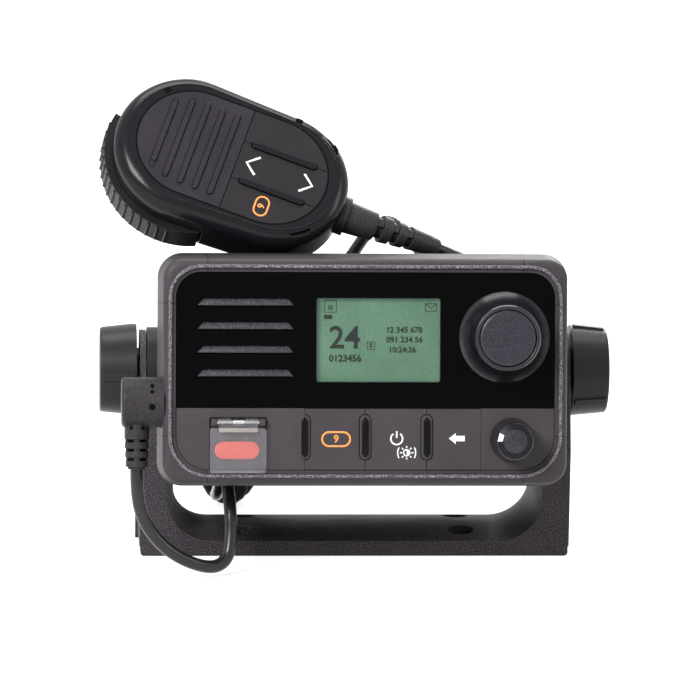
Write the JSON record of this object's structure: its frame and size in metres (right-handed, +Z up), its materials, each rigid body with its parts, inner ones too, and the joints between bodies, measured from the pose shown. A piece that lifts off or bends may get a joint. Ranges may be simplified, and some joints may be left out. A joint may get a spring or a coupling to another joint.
{
  "type": "vhf marine radio",
  "caption": "Fixed-mount marine VHF radio on a trunnion bracket, with side clamp knobs, a display, keys, rotary knobs and a fist microphone on a curly cord.",
  "frame": {"origin": "centre of the bracket's four screw holes, on its mounting face", "axes": "+X to the radio's right as its user sees it, +Y away from the user, +Z up from the mounting face"},
  "size_m": [0.2103, 0.2095, 0.1952],
  "materials": {
    "bracket_plastic": "fine satin, moulded",
    "clamp_plastic": "satin, moulded",
    "stainless": "turned",
    "bezel_plastic": "satin with a speckled ridge",
    "panel_gloss": "polished",
    "fascia_grey": "fine satin",
    "key_grey": "fine satin with printed symbols",
    "distress_red": "glossy",
    "clear_cover": "clear plastic",
    "lens": "clear, anti-glare",
    "lcd": "liquid crystal display, dark segments on grey green",
    "gasket_rubber": "matt",
    "speaker_parts": "coated basket and paper cone",
    "circuit_board": "green solder mask",
    "membrane_rubber": "silicone",
    "knob_plastic": "satin",
    "encoder_metal": "plated",
    "chassis_paint": "black powder coat on die-cast metal",
    "brass": "machined",
    "connector_metal": "bright plated",
    "gland_plastic": "satin",
    "cord_rubber": "smooth, slightly glossy",
    "boot_rubber": "satin",
    "handset_plastic": "satin, moulded",
    "handset_face": "satin",
    "handset_key_rubber": "satin with printed symbols",
    "ptt_rubber": "ribbed"
  },
  "bodies": {
    "bracket": {"bracket": "bracket_plastic"},
    "radio": {"front_bezel": "bezel_plastic", "front_panel": "panel_gloss", "lower_fascia": "fascia_grey", "distress_cover_pin": "stainless", "distress_cover_spring": "stainless", "display_window": "lens", "lcd_module": "lcd", "speaker_gasket": "gasket_rubber", "speaker": "speaker_parts", "front_board": "circuit_board", "keypad_membrane": "membrane_rubber", "menu_encoder": "encoder_metal", "volume_encoder": "encoder_metal", "rear_chassis": "chassis_paint", "left_trunnion_insert": "brass", "right_trunnion_insert": "brass", "front_seal": "gasket_rubber", "chassis_screws": "stainless", "main_board": "circuit_board", "antenna_connector": "connector_metal", "gps_connector": "brass", "power_cable_gland": "gland_plastic", "network_connector": "gland_plastic", "cord_boot": "boot_rubber", "cord_relief": "boot_rubber", "cord_lead": "cord_rubber", "cord_coil": "cord_rubber", "cord_tail": "cord_rubber"},
    "left_washer": {"left_knob_washer": "clamp_plastic"},
    "right_washer": {"right_knob_washer": "clamp_plastic"},
    "left_knob": {"left_clamp_knob": "clamp_plastic", "left_knob_stud": "stainless"},
    "right_knob": {"right_clamp_knob": "clamp_plastic", "right_knob_stud": "stainless"},
    "channel_key": {"channel_key": "key_grey"},
    "power_key": {"power_key": "key_grey"},
    "back_key": {"back_key": "key_grey"},
    "distress_button": {"distress_button": "distress_red"},
    "distress_cover": {"distress_cover": "clear_cover"},
    "menu_knob": {"menu_knob": "knob_plastic", "menu_shaft": "encoder_metal"},
    "menu_button": {"menu_button": "knob_plastic"},
    "volume_shaft": {"volume_shaft": "encoder_metal"},
    "volume_knob": {"volume_knob": "knob_plastic"},
    "handset": {"handset_front_shell": "handset_plastic", "handset_back_shell": "handset_plastic", "handset_grille": "handset_face", "handset_board": "circuit_board", "microphone_capsule": "encoder_metal", "ptt_pin": "stainless", "handset_screws": "stainless", "hang_button": "stainless", "handset_relief": "boot_rubber"},
    "handset_power_key": {"handset_power_key": "handset_key_rubber"},
    "handset_rocker_key": {"handset_rocker_key": "handset_key_rubber"},
    "handset_channel_key": {"handset_channel_key": "handset_key_rubber"},
    "ptt_lever": {"ptt_lever": "ptt_rubber"}
  },
  "joints": [
    {"name": "radio_tilt", "type": "hinge", "parent": "bracket", "child": "radio", "pos_m": [0, 0, 0.073], "axis": [1, 0, 0], "range_deg": [-20, 25], "deforming": ["cord_lead", "cord_coil"]},
    {"name": "left_knob_withdraw", "type": "slide", "parent": "radio", "child": "left_washer", "axis": [-1, 0, 0], "range_m": [0, 0.002]},
    {"name": "left_knob_turn", "type": "hinge", "parent": "left_washer", "child": "left_knob", "pos_m": [-0.0896, 0, 0.073], "axis": [1, 0, 0], "range_deg": [0, 720]},
    {"name": "right_knob_withdraw", "type": "slide", "parent": "radio", "child": "right_washer", "axis": [1, 0, 0], "range_m": [0, 0.002]},
    {"name": "right_knob_turn", "type": "hinge", "parent": "right_washer", "child": "right_knob", "pos_m": [0.0896, 0, 0.073], "axis": [-1, 0, 0], "range_deg": [0, 720]},
    {"name": "channel_key_press", "type": "slide", "parent": "radio", "child": "channel_key", "axis": [0, 0.9877, -0.1564], "range_m": [0, 0.0005], "stiffness_N_per_m": 300, "springref_m": -0.001},
    {"name": "power_key_press", "type": "slide", "parent": "radio", "child": "power_key", "axis": [0, 0.9877, -0.1564], "range_m": [0, 0.0005], "stiffness_N_per_m": 300, "springref_m": -0.001},
    {"name": "back_key_press", "type": "slide", "parent": "radio", "child": "back_key", "axis": [0, 0.9877, -0.1564], "range_m": [0, 0.0005], "stiffness_N_per_m": 300, "springref_m": -0.001},
    {"name": "distress_press", "type": "slide", "parent": "radio", "child": "distress_button", "axis": [0, 0.9877, -0.1564], "range_m": [0, 0.0015], "stiffness_N_per_m": 400, "springref_m": -0.001},
    {"name": "distress_cover_open", "type": "hinge", "parent": "radio", "child": "distress_cover", "pos_m": [-0.05075, -0.07566, 0.06646], "axis": [-1, 0, 0], "range_deg": [0, 110], "stiffness_Nm_per_rad": 0.004, "springref_deg": -22.92},
    {"name": "menu_knob_turn", "type": "hinge", "parent": "radio", "child": "menu_knob", "pos_m": [0.0553, -0.06914, 0.09995], "axis": [0, -0.9877, 0.1564], "continuous": true},
    {"name": "menu_button_press", "type": "slide", "parent": "menu_knob", "child": "menu_button", "axis": [0, 0.9877, -0.1564], "range_m": [0, 0.0008], "stiffness_N_per_m": 400, "springref_m": -0.001},
    {"name": "volume_press", "type": "slide", "parent": "radio", "child": "volume_shaft", "axis": [0, 0.9877, -0.1564], "range_m": [0, 0.0006], "stiffness_N_per_m": 400, "springref_m": -0.001},
    {"name": "volume_knob_turn", "type": "hinge", "parent": "volume_shaft", "child": "volume_knob", "pos_m": [0.0585, -0.07553, 0.05955], "axis": [0, -0.9877, 0.1564], "continuous": true},
    {"name": "handset_lift", "type": "slide", "parent": "radio", "child": "handset", "axis": [0, 0, 1], "range_m": [0, 0.06], "deforming": ["cord_tail"]},
    {"name": "handset_power_press", "type": "slide", "parent": "handset", "child": "handset_power_key", "axis": [-0.1112, 0.8116, -0.5736], "range_m": [0, 0.0004], "stiffness_N_per_m": 300, "springref_m": -0.001},
    {"name": "handset_channel_press", "type": "slide", "parent": "handset", "child": "handset_channel_key", "axis": [-0.1112, 0.8116, -0.5736], "range_m": [0, 0.0004], "stiffness_N_per_m": 300, "springref_m": -0.001},
    {"name": "handset_rocker_tip", "type": "hinge", "parent": "handset", "child": "handset_rocker_key", "pos_m": [-0.03289, -0.03459, 0.15903], "axis": [0.3253, 0.5751, 0.7506], "range_deg": [-1, 1], "stiffness_Nm_per_rad": 0.4},
    {"name": "ptt_squeeze", "type": "hinge", "parent": "handset", "child": "ptt_lever", "pos_m": [-0.06872, -0.03441, 0.13563], "axis": [-0.1112, 0.8116, -0.5736], "range_deg": [0, 2.2], "stiffness_Nm_per_rad": 4, "springref_deg": -1.15}
  ],
  "couplings": [
    {"joint": "left_knob_turn", "follows": "left_knob_withdraw", "rad_per_m": 6283.2},
    {"joint": "right_knob_turn", "follows": "right_knob_withdraw", "rad_per_m": 6283.2}
  ]
}
